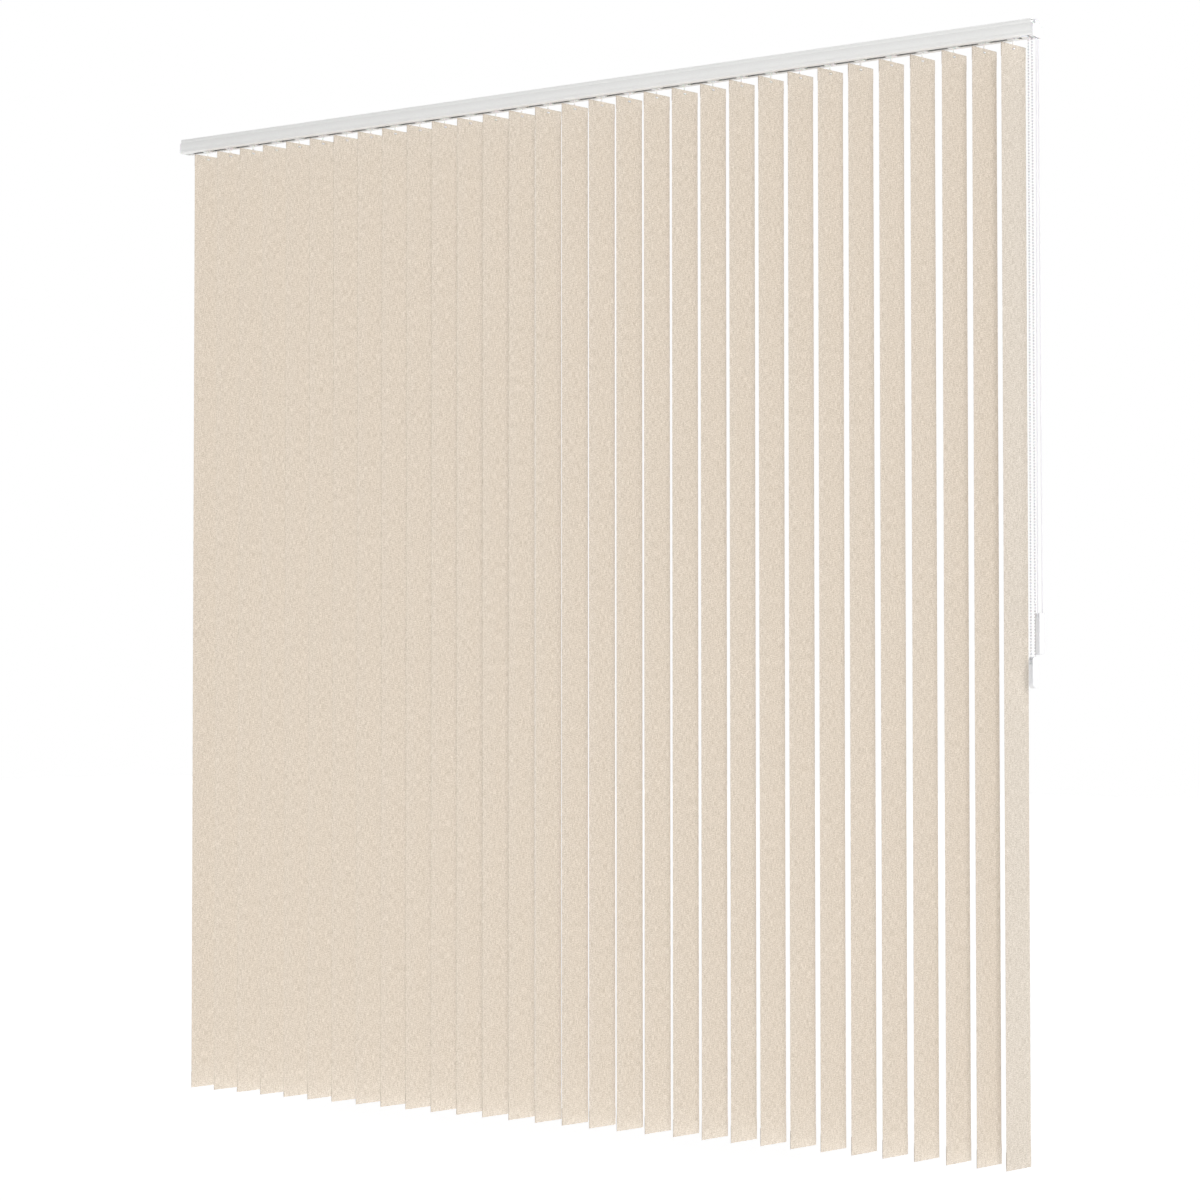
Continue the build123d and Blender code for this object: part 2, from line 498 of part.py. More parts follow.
# ---- weights on the chain and the cord -----------------------------------------------------
def weight_shells(size, corners, x, y, top, wheel_z, room, slot_drop):
    """Two clipped half shells with a round bottom, an open slot for the wheel and a room for the slug."""
    thick, wide, tall = size
    room_radius, room_half = room
    bottom = top - tall
    face = Pos(x - thick / 2, y, (top + bottom) / 2) * Rot(0, 90, 0) * Rot(0, 0, 90) * Rectangle(wide, tall)
    body = extrude(face, amount=thick, dir=(1, 0, 0))
    low_ends = body.edges().filter_by(Axis.X).group_by(Axis.Z)[0]
    body = fillet(low_ends, corners[1])
    high_ends = body.edges().filter_by(Axis.X).group_by(Axis.Z)[-1]
    body = fillet(high_ends, corners[0])
    body = chamfer(body.faces().filter_by(Axis.X).edges(), 1.0)
    body -= bar_x(x - room_half, x + room_half, y, wheel_z, room_radius)
    body -= block(x - room_half, x + room_half, y - room_radius, y + room_radius, wheel_z, top)
    body -= block(x - room_half, x + room_half, y - wide / 2, y + wide / 2, top - slot_drop, top)
    body -= slug(size, x, y, top, wheel_z - room_radius, 0.1)
    body -= bar_x(x - AXLE_HALF, x + AXLE_HALF, y, wheel_z, AXLE_RADIUS)
    left = body - block(x, x + thick, y - wide, y + wide, bottom - 1, top + 1)
    right = body - block(x - thick, x, y - wide, y + wide, bottom - 1, top + 1)
    return left, right


def slug(size, x, y, top, room_floor, clearance=0.0):
    """The steel slug that gives a weight its pull."""
    half = SLUG_HALF + clearance
    side = size[1] / 2 - SLUG_SIDE_WALL + clearance
    low = top - size[2] + SLUG_FLOOR - clearance
    return block(x - half, x + half, y - side, y + side, low, room_floor - SLUG_FROM_ROOM + clearance)


# ---- chain and cord ------------------------------------------------------------------------
def tube(path, radius):
    """A round tube along a path."""
    return sweep(Plane(origin=path @ 0, z_dir=path % 0) * Circle(radius), path=path)


def chain_path():
    """Round the sprocket, straight down to the weight's wheel, under it, and straight up again."""
    over = ROD_Z + SPROCKET_RADIUS
    under = CHAIN_WHEEL_Z - CHAIN_WHEEL_RADIUS
    points = [
        (CHAIN_X, ROD_Y - CHAIN_JOIN, over),
        (CHAIN_X, ROD_Y - SPROCKET_RADIUS, over),
        (CHAIN_X, ROD_Y - CHAIN_WHEEL_RADIUS, under),
        (CHAIN_X, ROD_Y + CHAIN_WHEEL_RADIUS, under),
        (CHAIN_X, ROD_Y + SPROCKET_RADIUS, over),
        (CHAIN_X, ROD_Y + CHAIN_JOIN, over),
    ]
    turns = [SPROCKET_RADIUS - CHAIN_JOIN, CHAIN_WHEEL_RADIUS - 0.1]
    radii = [turns[0], turns[1], turns[1], turns[0]]
    return FilletPolyline(points, radius=radii), radii


def cord_path():
    """From the lead carrier to the controls, down round the weight, back, and round the idler."""
    under = WEIGHT_PULLEY_Z - WEIGHT_PULLEY_RADIUS
    points = [
        (LEAD_AXIS + KNOT_HALF, CORD_FRONT_Y, CORD_Z),
        (CORD_X, CORD_FRONT_Y, CORD_Z),
        (CORD_X, CORD_MID_Y - WEIGHT_PULLEY_RADIUS, under),
        (CORD_X, CORD_MID_Y + WEIGHT_PULLEY_RADIUS, under),
        (CORD_X, CORD_REAR_Y, CORD_Z),
        (IDLER_X - IDLER_RADIUS, CORD_REAR_Y, CORD_Z),
        (IDLER_X - IDLER_RADIUS, CORD_FRONT_Y, CORD_Z),
        (LEAD_AXIS - KNOT_HALF, CORD_FRONT_Y, CORD_Z),
    ]
    radii = [CORD_PULLEY_RADIUS, WEIGHT_PULLEY_RADIUS - 0.1, WEIGHT_PULLEY_RADIUS - 0.1,
             CORD_PULLEY_RADIUS, IDLER_RADIUS - 0.05, IDLER_RADIUS - 0.05]
    return FilletPolyline(points, radius=radii), radii


# ---- ceiling clips -------------------------------------------------------------------------
def ceiling_clip(x):
    """A swivel clip: its pad comes up between the rail's lips and its two wings hold them from below."""
    pad = LIP_OPENING / 2 - 0.7
    half = CLIP_LENGTH / 2
    low = -LIP_THICK - 0.2
    clip = block(x - half, x + half, -pad, pad, low - CLIP_PLATE, 0)
    clip += block(x - half, x + half, -CLIP_REACH, CLIP_REACH, low - CLIP_PLATE, low)
    return clip - bar_z(low - CLIP_PLATE, 0, x, 0, CLIP_HOLE_RADIUS)


# ---- write every node ----------------------------------------------------------------------
save("headrail", headrail())
save("idler_cap", idler_cap())
save("control_housing", control_housing())
save("control_cap", control_cap())
save("end_screws", *[end_screw(x, y) for x, y in END_SCREWS])
save("ceiling_clips", *[ceiling_clip(side * gap / 2) for gap in CLIP_SPACINGS for side in (-1, 1)])
save("rod_bushes", rod_bush(RAIL_LEFT + 4.6, RAIL_LEFT + 7), rod_bush(BEARING_X, BEARING_X + BEARING_THICK))
save("tilt_rod", tilt_rod())
save("worms", *[worm(x) for x in AXES])
sprocket = chain_wheel(SPROCKET_RADIUS, SPROCKET_POCKETS, BEAD_RADIUS + 0.35, SPROCKET_WIDTH,
                       SPROCKET_FLANGE, ROD_RADIUS)
save("chain_sprocket", on_x(sprocket, CHAIN_X, ROD_Y, ROD_Z))
save("carrier_bodies", *[carrier(x) for x in AXES])
save("carrier_wheels", *[wheel for x in AXES for wheel in carrier_wheels(x)])
save("spacer_links", *[spacer_link(i) for i in range(SLAT_COUNT - 1)])

cord_wheel = pulley(CORD_PULLEY_RADIUS, CORD_RADIUS, PULLEY_WIDTH, 6.6, AXLE_RADIUS + RUN_CLEARANCE)
for node, y in (("front_cord_pulley", CORD_FRONT_Y), ("rear_cord_pulley", CORD_REAR_Y)):
    save(node, Pos(PULLEY_X, y, PULLEY_AXLE_Z) * Rot(90, 0, 0) * cord_wheel)
save("pulley_axle", bar_y(CORD_FRONT_Y - PULLEY_WIDTH / 2, HOUSING_HALF, PULLEY_X, PULLEY_AXLE_Z, AXLE_RADIUS))
idler = pulley(IDLER_RADIUS, CORD_RADIUS, PULLEY_WIDTH, 5.8, AXLE_RADIUS + RUN_CLEARANCE)
save("idler_pulley", Pos(IDLER_X, CORD_MID_Y, CORD_Z) * idler)

chain, chain_radii = chain_path()
save("bead_chain", tube(chain, BEAD_RADIUS))
cord, cord_radii = cord_path()
save("draw_cord", tube(cord, CORD_RADIUS))
save("cord_knot", bar_x(LEAD_AXIS - KNOT_HALF, LEAD_AXIS + KNOT_HALF, CORD_FRONT_Y, CORD_Z, CORD_RADIUS + 0.4))
print("chain length", round(chain.length, 1), "radii", [round(r, 2) for r in chain_radii])
print("cord length", round(cord.length, 1), "radii", [round(r, 2) for r in cord_radii])

chain_room = CHAIN_WHEEL_RADIUS + BEAD_RADIUS + MESH_CLEARANCE
chain_shells = weight_shells(CHAIN_WEIGHT_SIZE, CHAIN_WEIGHT_CORNERS, CHAIN_X, ROD_Y, CHAIN_WEIGHT_TOP,
                             CHAIN_WHEEL_Z, (chain_room, CHAIN_ROOM_HALF), CHAIN_SLOT_DROP)
cord_room = WEIGHT_PULLEY_RADIUS + CORD_RADIUS + MESH_CLEARANCE
cord_shells = weight_shells(CORD_WEIGHT_SIZE, CORD_WEIGHT_CORNERS, CORD_X, CORD_MID_Y, CORD_WEIGHT_TOP,
                            WEIGHT_PULLEY_Z, (cord_room, CORD_ROOM_HALF), CORD_SLOT_DROP)
for name, shells in (("chain", chain_shells), ("cord", cord_shells)):
    for side, shell in zip(("left", "right"), shells):
        save(f"{name}_weight_shell_{side}", shell)
small_wheel = chain_wheel(CHAIN_WHEEL_RADIUS, CHAIN_WHEEL_POCKETS, BEAD_RADIUS + 0.2, CHAIN_WHEEL_WIDTH,
                          CHAIN_WHEEL_FLANGE, AXLE_RADIUS + RUN_CLEARANCE)
save("chain_weight_wheel", on_x(small_wheel, CHAIN_X, ROD_Y, CHAIN_WHEEL_Z))
big_pulley = pulley(WEIGHT_PULLEY_RADIUS, CORD_RADIUS, WEIGHT_PULLEY_WIDTH, WEIGHT_PULLEY_FLANGE,
                    AXLE_RADIUS + RUN_CLEARANCE)
save("cord_weight_pulley", on_x(big_pulley, CORD_X, CORD_MID_Y, WEIGHT_PULLEY_Z))
save("weight_axles", bar_x(CHAIN_X - AXLE_HALF, CHAIN_X + AXLE_HALF, ROD_Y, CHAIN_WHEEL_Z, AXLE_RADIUS),
     bar_x(CORD_X - AXLE_HALF, CORD_X + AXLE_HALF, CORD_MID_Y, WEIGHT_PULLEY_Z, AXLE_RADIUS))
save("weight_slugs", slug(CHAIN_WEIGHT_SIZE, CHAIN_X, ROD_Y, CHAIN_WEIGHT_TOP, CHAIN_WHEEL_Z - chain_room),
     slug(CORD_WEIGHT_SIZE, CORD_X, CORD_MID_Y, CORD_WEIGHT_TOP, WEIGHT_PULLEY_Z - cord_room))

slat = [fabric(), hanger_plate(), bottom_weight(), slat_holder()]
for i, x in enumerate(AXES):
    save(f"slat_{i + 1:02d}", *[Pos(x, 0, 0) * Rot(0, 0, REST_ANGLE) * piece for piece in slat])
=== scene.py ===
import bmesh
import bpy
import json
import random
from math import cos, pi, radians, sin
from mathutils import Matrix, Quaternion, Vector


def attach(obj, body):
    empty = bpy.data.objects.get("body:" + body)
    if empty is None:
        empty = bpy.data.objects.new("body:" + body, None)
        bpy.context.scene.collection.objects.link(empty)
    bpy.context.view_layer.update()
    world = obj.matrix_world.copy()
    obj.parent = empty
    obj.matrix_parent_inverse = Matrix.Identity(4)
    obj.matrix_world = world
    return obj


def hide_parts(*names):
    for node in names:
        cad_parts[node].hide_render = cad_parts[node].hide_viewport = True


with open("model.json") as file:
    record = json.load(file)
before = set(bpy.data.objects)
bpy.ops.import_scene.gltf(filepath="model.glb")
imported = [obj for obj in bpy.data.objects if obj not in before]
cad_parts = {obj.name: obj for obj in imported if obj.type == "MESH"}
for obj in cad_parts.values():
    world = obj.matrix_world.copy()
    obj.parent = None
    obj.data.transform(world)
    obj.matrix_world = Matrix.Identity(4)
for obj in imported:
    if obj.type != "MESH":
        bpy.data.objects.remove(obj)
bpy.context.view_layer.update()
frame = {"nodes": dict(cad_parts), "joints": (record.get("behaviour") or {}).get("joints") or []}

# ---- headrail ----
# The headrail is an extruded aluminium profile with a white powder coat. Its cut edges and corners are
# broken by a fraction of a millimetre, and the coat has a faint orange peel drawn out along the profile.


def new_material(name, colour, roughness, metallic=0.0):
    """A material whose one shader has its even values on its own sockets."""
    material = bpy.data.materials.new(name)
    material.use_nodes = True
    shader = material.node_tree.nodes["Principled BSDF"]
    shader.inputs["Base Color"].default_value = (*colour, 1.0)
    shader.inputs["Roughness"].default_value = roughness
    shader.inputs["Metallic"].default_value = metallic
    return material


def add_grain(material, scale, detail, colours, rough_range, bump_mm):
    """Fine noise on object coordinates drives the colour, the gloss and the relief."""
    tree = material.node_tree
    shader = tree.nodes["Principled BSDF"]
    place = tree.nodes.new("ShaderNodeTexCoord")
    stretch = tree.nodes.new("ShaderNodeMapping")
    stretch.inputs["Scale"].default_value = scale
    grain = tree.nodes.new("ShaderNodeTexNoise")
    grain.inputs["Scale"].default_value = 1.0
    grain.inputs["Detail"].default_value = detail
    tone = tree.nodes.new("ShaderNodeValToRGB")
    tone.color_ramp.elements[0].position = 0.3
    tone.color_ramp.elements[0].color = (*colours[0], 1.0)
    tone.color_ramp.elements[1].position = 0.7
    tone.color_ramp.elements[1].color = (*colours[1], 1.0)
    gloss = tree.nodes.new("ShaderNodeMapRange")
    gloss.inputs["To Min"].default_value = rough_range[0]
    gloss.inputs["To Max"].default_value = rough_range[1]
    bump = tree.nodes.new("ShaderNodeBump")
    bump.inputs["Strength"].default_value = 0.4
    bump.inputs["Distance"].default_value = bump_mm / 1000
    tree.links.new(place.outputs["Object"], stretch.inputs["Vector"])
    tree.links.new(stretch.outputs["Vector"], grain.inputs["Vector"])
    tree.links.new(grain.outputs["Fac"], tone.inputs["Fac"])
    tree.links.new(tone.outputs["Color"], shader.inputs["Base Color"])
    tree.links.new(grain.outputs["Fac"], gloss.inputs["Value"])
    tree.links.new(gloss.outputs["Result"], shader.inputs["Roughness"])
    tree.links.new(grain.outputs["Fac"], bump.inputs["Height"])
    tree.links.new(bump.outputs["Normal"], shader.inputs["Normal"])
    return material


def finish_node(node, material):
    """A CAD piece whose shape is right gets its real finish."""
    mesh = frame["nodes"][node].data
    mesh.materials.clear()
    mesh.materials.append(material)


def select_only(piece):
    """Clears the selection, then selects and activates one piece."""
    bpy.ops.object.select_all(action="DESELECT")
    piece.select_set(True)
    bpy.context.view_layer.objects.active = piece


def broken_edges(node, name, body, material, width_mm):
    """A copy of a CAD piece with its sharp edges broken, which is shown in its place."""
    source = frame["nodes"][node]
    piece = bpy.data.objects.new(name, source.data.copy())
    bpy.context.scene.collection.objects.link(piece)
    select_only(piece)
    bpy.ops.object.mode_set(mode="EDIT")
    bpy.ops.mesh.select_all(action="SELECT")
    bpy.ops.mesh.remove_doubles(threshold=0.00001)
    bpy.ops.mesh.dissolve_limited(angle_limit=radians(0.5))
    bpy.ops.object.mode_set(mode="OBJECT")
    soften = piece.modifiers.new("broken edges", "BEVEL")
    soften.width = width_mm / 1000
    soften.segments = 2
    soften.limit_method = "ANGLE"
    soften.angle_limit = radians(30)
    soften.harden_normals = False
    bpy.ops.object.modifier_apply(modifier=soften.name)
    bpy.ops.object.shade_smooth_by_angle(angle=radians(40))
    piece.data.materials.clear()
    piece.data.materials.append(material)
    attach(piece, body)
    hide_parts(node)
    return piece


powder_coat = add_grain(
    new_material("white_powder_coat", (0.86, 0.86, 0.85), 0.4),
    scale=(160, 900, 900), detail=3.0, colours=((0.84, 0.84, 0.83), (0.88, 0.88, 0.87)),
    rough_range=(0.3, 0.42), bump_mm=0.02,
)
broken_edges("headrail", "rail_profile", "headrail", powder_coat, 0.25)

# ---- end fittings ----
# Both ends are injection moulded in white plastic: the left cap with the idler's post, and at the right the
# control housing with its cover plate. The mould leaves a fine spark texture and soft edges.


def scatter_inside(material, weight, depth):
    """Some of the light goes into a plastic and comes out a little way off."""
    shader = material.node_tree.nodes["Principled BSDF"]
    shader.inputs["Subsurface Weight"].default_value = weight
    shader.inputs["Subsurface Scale"].default_value = depth


moulded_white = add_grain(
    new_material("moulded_white", (0.87, 0.87, 0.88), 0.42),
    scale=(1400, 1400, 1400), detail=2.0, colours=((0.86, 0.86, 0.87), (0.89, 0.89, 0.9)),
    rough_range=(0.36, 0.5), bump_mm=0.015,
)
scatter_inside(moulded_white, 0.08, 0.002)
broken_edges("idler_cap", "left_end_cap", "headrail", moulded_white, 0.35)
broken_edges("control_housing", "right_control_housing", "headrail", moulded_white, 0.2)
broken_edges("control_cap", "right_end_cap", "headrail", moulded_white, 0.35)

# ---- carriers and their wheels ----
# The carriers, their wheels, the worms and the pulleys are moulded in natural acetal: milky, slightly
# waxy, and smooth enough to run on the coated rail.
acetal = add_grain(
    new_material("natural_acetal", (0.85, 0.85, 0.84), 0.34),
    scale=(700, 700, 700), detail=2.0, colours=((0.83, 0.83, 0.82), (0.88, 0.88, 0.87)),
    rough_range=(0.28, 0.4), bump_mm=0.01,
)
scatter_inside(acetal, 0.12, 0.002)
for node in ("carrier_bodies", "carrier_wheels", "worms", "chain_sprocket", "rod_bushes", "idler_pulley",
             "front_cord_pulley", "rear_cord_pulley", "cord_weight_pulley", "chain_weight_wheel"):
    finish_node(node, acetal)

# ---- tilt rod ----
# The rod is drawn aluminium with three keyways along it. Drawing leaves fine lines from end to end.
drawn_alloy = add_grain(
    new_material("drawn_aluminium", (0.74, 0.75, 0.77), 0.3, metallic=1.0),
    scale=(12, 2600, 2600), detail=3.0, colours=((0.68, 0.69, 0.71), (0.79, 0.8, 0.82)),
    rough_range=(0.2, 0.42), bump_mm=0.01,
)
finish_node("tilt_rod", drawn_alloy)

# ---- steel fittings ----
# The spacer links, ceiling clips, pins, slugs and end screws are zinc-plated steel: satin, a little
# cloudy, with rolling marks along the strip.
zinc_plate = add_grain(
    new_material("zinc_plated_steel", (0.62, 0.63, 0.65), 0.34, metallic=1.0),
    scale=(60, 900, 900), detail=4.0, colours=((0.55, 0.56, 0.58), (0.7, 0.71, 0.73)),
    rough_range=(0.24, 0.46), bump_mm=0.015,
)
for node in ("spacer_links", "ceiling_clips", "pulley_axle", "weight_axles", "weight_slugs", "end_screws"):
    finish_node(node, zinc_plate)

# ---- slat cloth ----
# Each slat is a strip of stiffened polyester cloth, folded and welded into a flat pocket at the top and at
# the bottom, with a rounded slot near the top edge for the holder's barb. Each hangs with a slight bow.
SLAT_COUNT = 31
SLAT_HALF = 0.0445
SLAT_TOP = -0.0482
SLAT_BOTTOM = -2.511
PLY_OFFSET = 0.000675
TOP_HEM = 0.03
BOTTOM_HEM = 0.04
HEM_BLEND = 0.007
CLOTH_THICK = 0.00045
EYELET_HALF = 0.0055
EYELET_TOP = 0.006
EYELET_DROP = 0.0085
EYELET_BOTTOM = 0.011
EYELET_CORNER = 0.0016
REST_ANGLE = 80.2
TURN_HEIGHT = 0.0012
TURN_RISES = (0.0007, 0.0005)
TURN_CORNER = 0.0003
WELD_GAP = 0.00012
WELD_RUN = 0.0022
NEAR = 0.0001


def cut_rows(heights):
    """Cuts the selected mesh across at each height."""
    for height in heights:
        bpy.ops.mesh.select_all(action="SELECT")
        bpy.ops.mesh.bisect(plane_co=(0, 0, height), plane_no=(0, 0, 1))


def select_where(mesh_edit, test):
    """Selects the vertices that pass a test on their place, and what they bound."""
    bpy.ops.mesh.select_all(action="DESELECT")
    mesh_edit.verts.ensure_lookup_table()
    for vertex in mesh_edit.verts:
        vertex.select = test(vertex.co)
    mesh_edit.select_flush_mode()


def select_faces(piece, test):
    """Selects the faces that pass a test, in the piece being edited."""
    bpy.context.tool_settings.mesh_select_mode = (False, False, True)
    bpy.ops.mesh.select_all(action="DESELECT")
    for face in bmesh.from_edit_mesh(piece.data).faces:
        face.select = test(face)
    bmesh.update_edit_mesh(piece.data)


bpy.ops.object.select_all(action="DESELECT")
leaf_middle = (SLAT_TOP + SLAT_BOTTOM) / 2
bpy.ops.mesh.primitive_plane_add(size=1.0, location=(0, 0, leaf_middle), rotation=(pi / 2, 0, 0))
cloth_pattern = bpy.context.active_object
cloth_pattern.name = "cloth_pattern"
cloth_pattern.scale = (SLAT_HALF * 2, SLAT_TOP - SLAT_BOTTOM - 2 * TURN_HEIGHT, 1)
bpy.ops.object.transform_apply(location=True, rotation=True, scale=True)
bpy.ops.object.mode_set(mode="EDIT")
cut_rows([SLAT_TOP - EYELET_TOP, SLAT_TOP - EYELET_BOTTOM, SLAT_TOP - 0.02, SLAT_TOP - TOP_HEM])
cut_rows([SLAT_TOP - TOP_HEM - HEM_BLEND])
cut_rows([SLAT_TOP - TOP_HEM - 0.02 - 0.1 * k for k in range(24)])
cut_rows([SLAT_BOTTOM + BOTTOM_HEM + HEM_BLEND, SLAT_BOTTOM + BOTTOM_HEM, SLAT_BOTTOM + 0.02])
for across in (-0.033, -0.02, -EYELET_HALF, 0.0, EYELET_HALF, 0.02, 0.033):
    bpy.ops.mesh.select_all(action="SELECT")
    bpy.ops.mesh.bisect(plane_co=(across, 0, 0), plane_no=(1, 0, 0))
# both pockets stand forward of the leaf, then the cloth turns over and comes back down behind it
edit = bmesh.from_edit_mesh(cloth_pattern.data)
bpy.context.tool_settings.mesh_select_mode = (True, False, False)
low_pocket = SLAT_BOTTOM + BOTTOM_HEM + NEAR
high_pocket = SLAT_TOP - TOP_HEM - NEAR
select_where(edit, lambda co: co.z > high_pocket or co.z < low_pocket)
bpy.ops.transform.translate(value=(0, -PLY_OFFSET, 0))
top_drops = [EYELET_TOP - TURN_HEIGHT, 0.005, 0.009, TOP_HEM - 0.02]
bottom_drops = [0.02 - TURN_HEIGHT, BOTTOM_HEM - 0.02]
for sign, edge, drops in ((1, SLAT_TOP, top_drops), (-1, SLAT_BOTTOM, bottom_drops)):
    reach = edge - sign * TURN_HEIGHT
    select_where(edit, lambda co: abs(co.z - reach) < NEAR)
    first_rise, last_rise = TURN_RISES
    steps = [(TURN_CORNER, sign * first_rise), (PLY_OFFSET - TURN_CORNER, sign * last_rise),
             (PLY_OFFSET - TURN_CORNER, -sign * last_rise), (TURN_CORNER, -sign * first_rise)]
    steps += [(0.0, -sign * drop) for drop in drops]
    steps += [(WELD_GAP - PLY_OFFSET, -sign * WELD_RUN)]
    for out, up in steps:
        bpy.ops.mesh.extrude_region_move(TRANSFORM_OT_translate={"value": (0, out, up)})


# the eyelet goes through both plies
def in_eyelet(face):
    """True for the faces that the slot takes away."""
    middle = face.calc_center_median()
    drop = SLAT_TOP - middle.z
    return abs(middle.x) < EYELET_HALF and EYELET_TOP < drop < EYELET_BOTTOM


select_faces(cloth_pattern, in_eyelet)
bpy.ops.mesh.delete(type="FACE")
bpy.context.tool_settings.mesh_select_mode = (True, False, False)
edit = bmesh.from_edit_mesh(cloth_pattern.data)
select_where(edit, lambda co: abs(abs(co.x) - EYELET_HALF) < NEAR
             and min(abs(co.z - SLAT_TOP + EYELET_TOP), abs(co.z - SLAT_TOP + EYELET_BOTTOM)) < NEAR)
bpy.ops.mesh.bevel(affect="VERTICES", offset=EYELET_CORNER, segments=3, offset_type="WIDTH")
bpy.ops.mesh.select_all(action="SELECT")
bpy.ops.mesh.normals_make_consistent(inside=False)
bpy.ops.object.mode_set(mode="OBJECT")

cloth_weave = new_material("woven_polyester", (0.72, 0.62, 0.52), 0.86)
tree = cloth_weave.node_tree
shader = tree.nodes["Principled BSDF"]
shader.inputs["Sheen Weight"].default_value = 0.15
shader.inputs["Sheen Roughness"].default_value = 0.5
cloth_place = tree.nodes.new("ShaderNodeUVMap")
cloth_place.uv_map = "weave"


def cloth_noise(scale, detail):
    """Noise on the cloth's own map, at so many features a metre across and along."""
    stretch = tree.nodes.new("ShaderNodeMapping")
    stretch.inputs["Scale"].default_value = (*scale, 1.0)
    noise = tree.nodes.new("ShaderNodeTexNoise")
    noise.inputs["Scale"].default_value = 1.0
    noise.inputs["Detail"].default_value = detail
    tree.links.new(cloth_place.outputs["UV"], stretch.inputs["Vector"])
    tree.links.new(stretch.outputs["Vector"], noise.inputs["Vector"])
    return noise.outputs["Fac"]


def cloth_threads(axis, spacing):
    """Rounded threads side by side across one way of the cloth."""
    waves = tree.nodes.new("ShaderNodeTexWave")
    waves.wave_type = "BANDS"
    waves.bands_direction = axis
    waves.inputs["Scale"].default_value = pi / (10 * spacing)
    waves.inputs["Distortion"].default_value = 0.6
    waves.inputs["Detail"].default_value = 1.0
    tree.links.new(cloth_place.outputs["UV"], waves.inputs["Vector"])
    return waves.outputs["Fac"]


def join_values(operation, first, second, clamp=False):
    """One arithmetic step between two values."""
    step = tree.nodes.new("ShaderNodeMath")
    step.operation = operation
    step.use_clamp = clamp
    for socket, value in zip(step.inputs, (first, second)):
        if isinstance(value, float):
            socket.default_value = value
        else:
            tree.links.new(value, socket)
    return step.outputs["Value"]


threads = join_values("MAXIMUM", cloth_threads("X", 0.0007), cloth_threads("Y", 0.0008))
slubs = join_values("ADD", cloth_noise((700, 55), 2.0), cloth_noise((100, 820), 2.0))
mottle = cloth_noise((480, 480), 2.0)
shade = join_values("ADD", join_values("MULTIPLY", slubs, 0.32), join_values("MULTIPLY", mottle, 0.45))
shade = join_values("ADD", shade, join_values("MULTIPLY", threads, 0.1), clamp=True)
cloth_tone = tree.nodes.new("ShaderNodeValToRGB")
cloth_tone.color_ramp.elements[0].position = 0.56
cloth_tone.color_ramp.elements[0].color = (0.545, 0.474, 0.388, 1.0)
cloth_tone.color_ramp.elements[1].position = 0.68
cloth_tone.color_ramp.elements[1].color = (0.815, 0.743, 0.655, 1.0)
tree.links.new(shade, cloth_tone.inputs["Fac"])
tree.links.new(cloth_tone.outputs["Color"], shader.inputs["Base Color"])
relief = tree.nodes.new("ShaderNodeBump")
relief.inputs["Strength"].default_value = 0.5
relief.inputs["Distance"].default_value = 0.00012
tree.links.new(join_values("ADD", threads, slubs), relief.inputs["Height"])
tree.links.new(relief.outputs["Normal"], shader.inputs["Normal"])

slat_chance = random.Random(31)
slat_places = []
for i in range(SLAT_COUNT):
    joint = next(j for j in frame["joints"] if j["name"] == f"slat_{i + 1:02d}_tilt")
    slat_places.append(Vector(joint["pos_m"]).x)


def hang(piece, x):
    """Turns a piece made facing front to the slats' rest angle and puts it on its axis."""
    piece.data.transform(Matrix.Translation((x, 0, 0)) @ Matrix.Rotation(radians(REST_ANGLE), 4, "Z"))


for i, x in enumerate(slat_places):
    cloth = bpy.data.objects.new(f"cloth_{i + 1:02d}", cloth_pattern.data.copy())
    bpy.context.scene.collection.objects.link(cloth)
    bow = slat_chance.uniform(-0.0001, 0.0003)
    sway = slat_chance.uniform(-0.0003, 0.0003)
    phase = slat_chance.uniform(0, 2 * pi)
    weave_map = cloth.data.uv_layers.new(name="weave")
    for loop in cloth.data.loops:
        co = cloth.data.vertices[loop.vertex_index].co
        weave_map.data[loop.index].uv = (co.x + 0.13 * i, co.z + 3.1 * co.y + 0.37 * i)
    for vertex in cloth.data.vertices:
        run = (SLAT_TOP - vertex.co.z) / (SLAT_TOP - SLAT_BOTTOM)
        free = sin(pi * min(max(run, 0.0), 1.0))
        bulge = bow * (1 - (vertex.co.x / SLAT_HALF) ** 2)
        vertex.co.y += free * (bulge + sway * sin(3 * run + phase))
    select_only(cloth)
    wall = cloth.modifiers.new("cloth thickness", "SOLIDIFY")
    wall.thickness = CLOTH_THICK
    wall.offset = 0.0
    bpy.ops.object.modifier_apply(modifier=wall.name)
    bpy.ops.object.shade_smooth_by_angle(angle=radians(50))
    hang(cloth, x)
    cloth.data.materials.append(cloth_weave)
    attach(cloth, f"slat_{i + 1:02d}")
    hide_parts(f"slat_{i + 1:02d}")

# ---- slat holders ----
# A holder is one acetal moulding: a toothed wheel and stem that the carrier holds, and below the rail a
# neck that steps behind the slat into one flat prong. The prong's barb comes through the slot to the front.
ROD_HEIGHT = -0.0205
WHEEL_TEETH = 12
WHEEL_RADIUS = 0.0036
WHEEL_DEPTH = 0.0076
TOOTH_HEIGHT = 0.00095
STEM_LAP = 0.0035
STEM_RADIUS = 0.0019
PIVOT_TOP = 0.0062
PIVOT_RADIUS = 0.0016
NECK_TOP = SLAT_TOP + 0.0044
NECK_BOTTOM = SLAT_TOP + 0.0012
NECK_WIDTH = 0.0038
PRONG_FRONT = 0.00105
PRONG_BACK = 0.00245
PRONG_STEPS = ((0.0014, 1.42), (0.0042, 1.0), (0.0054, 1.0), (0.0018, 0.72))


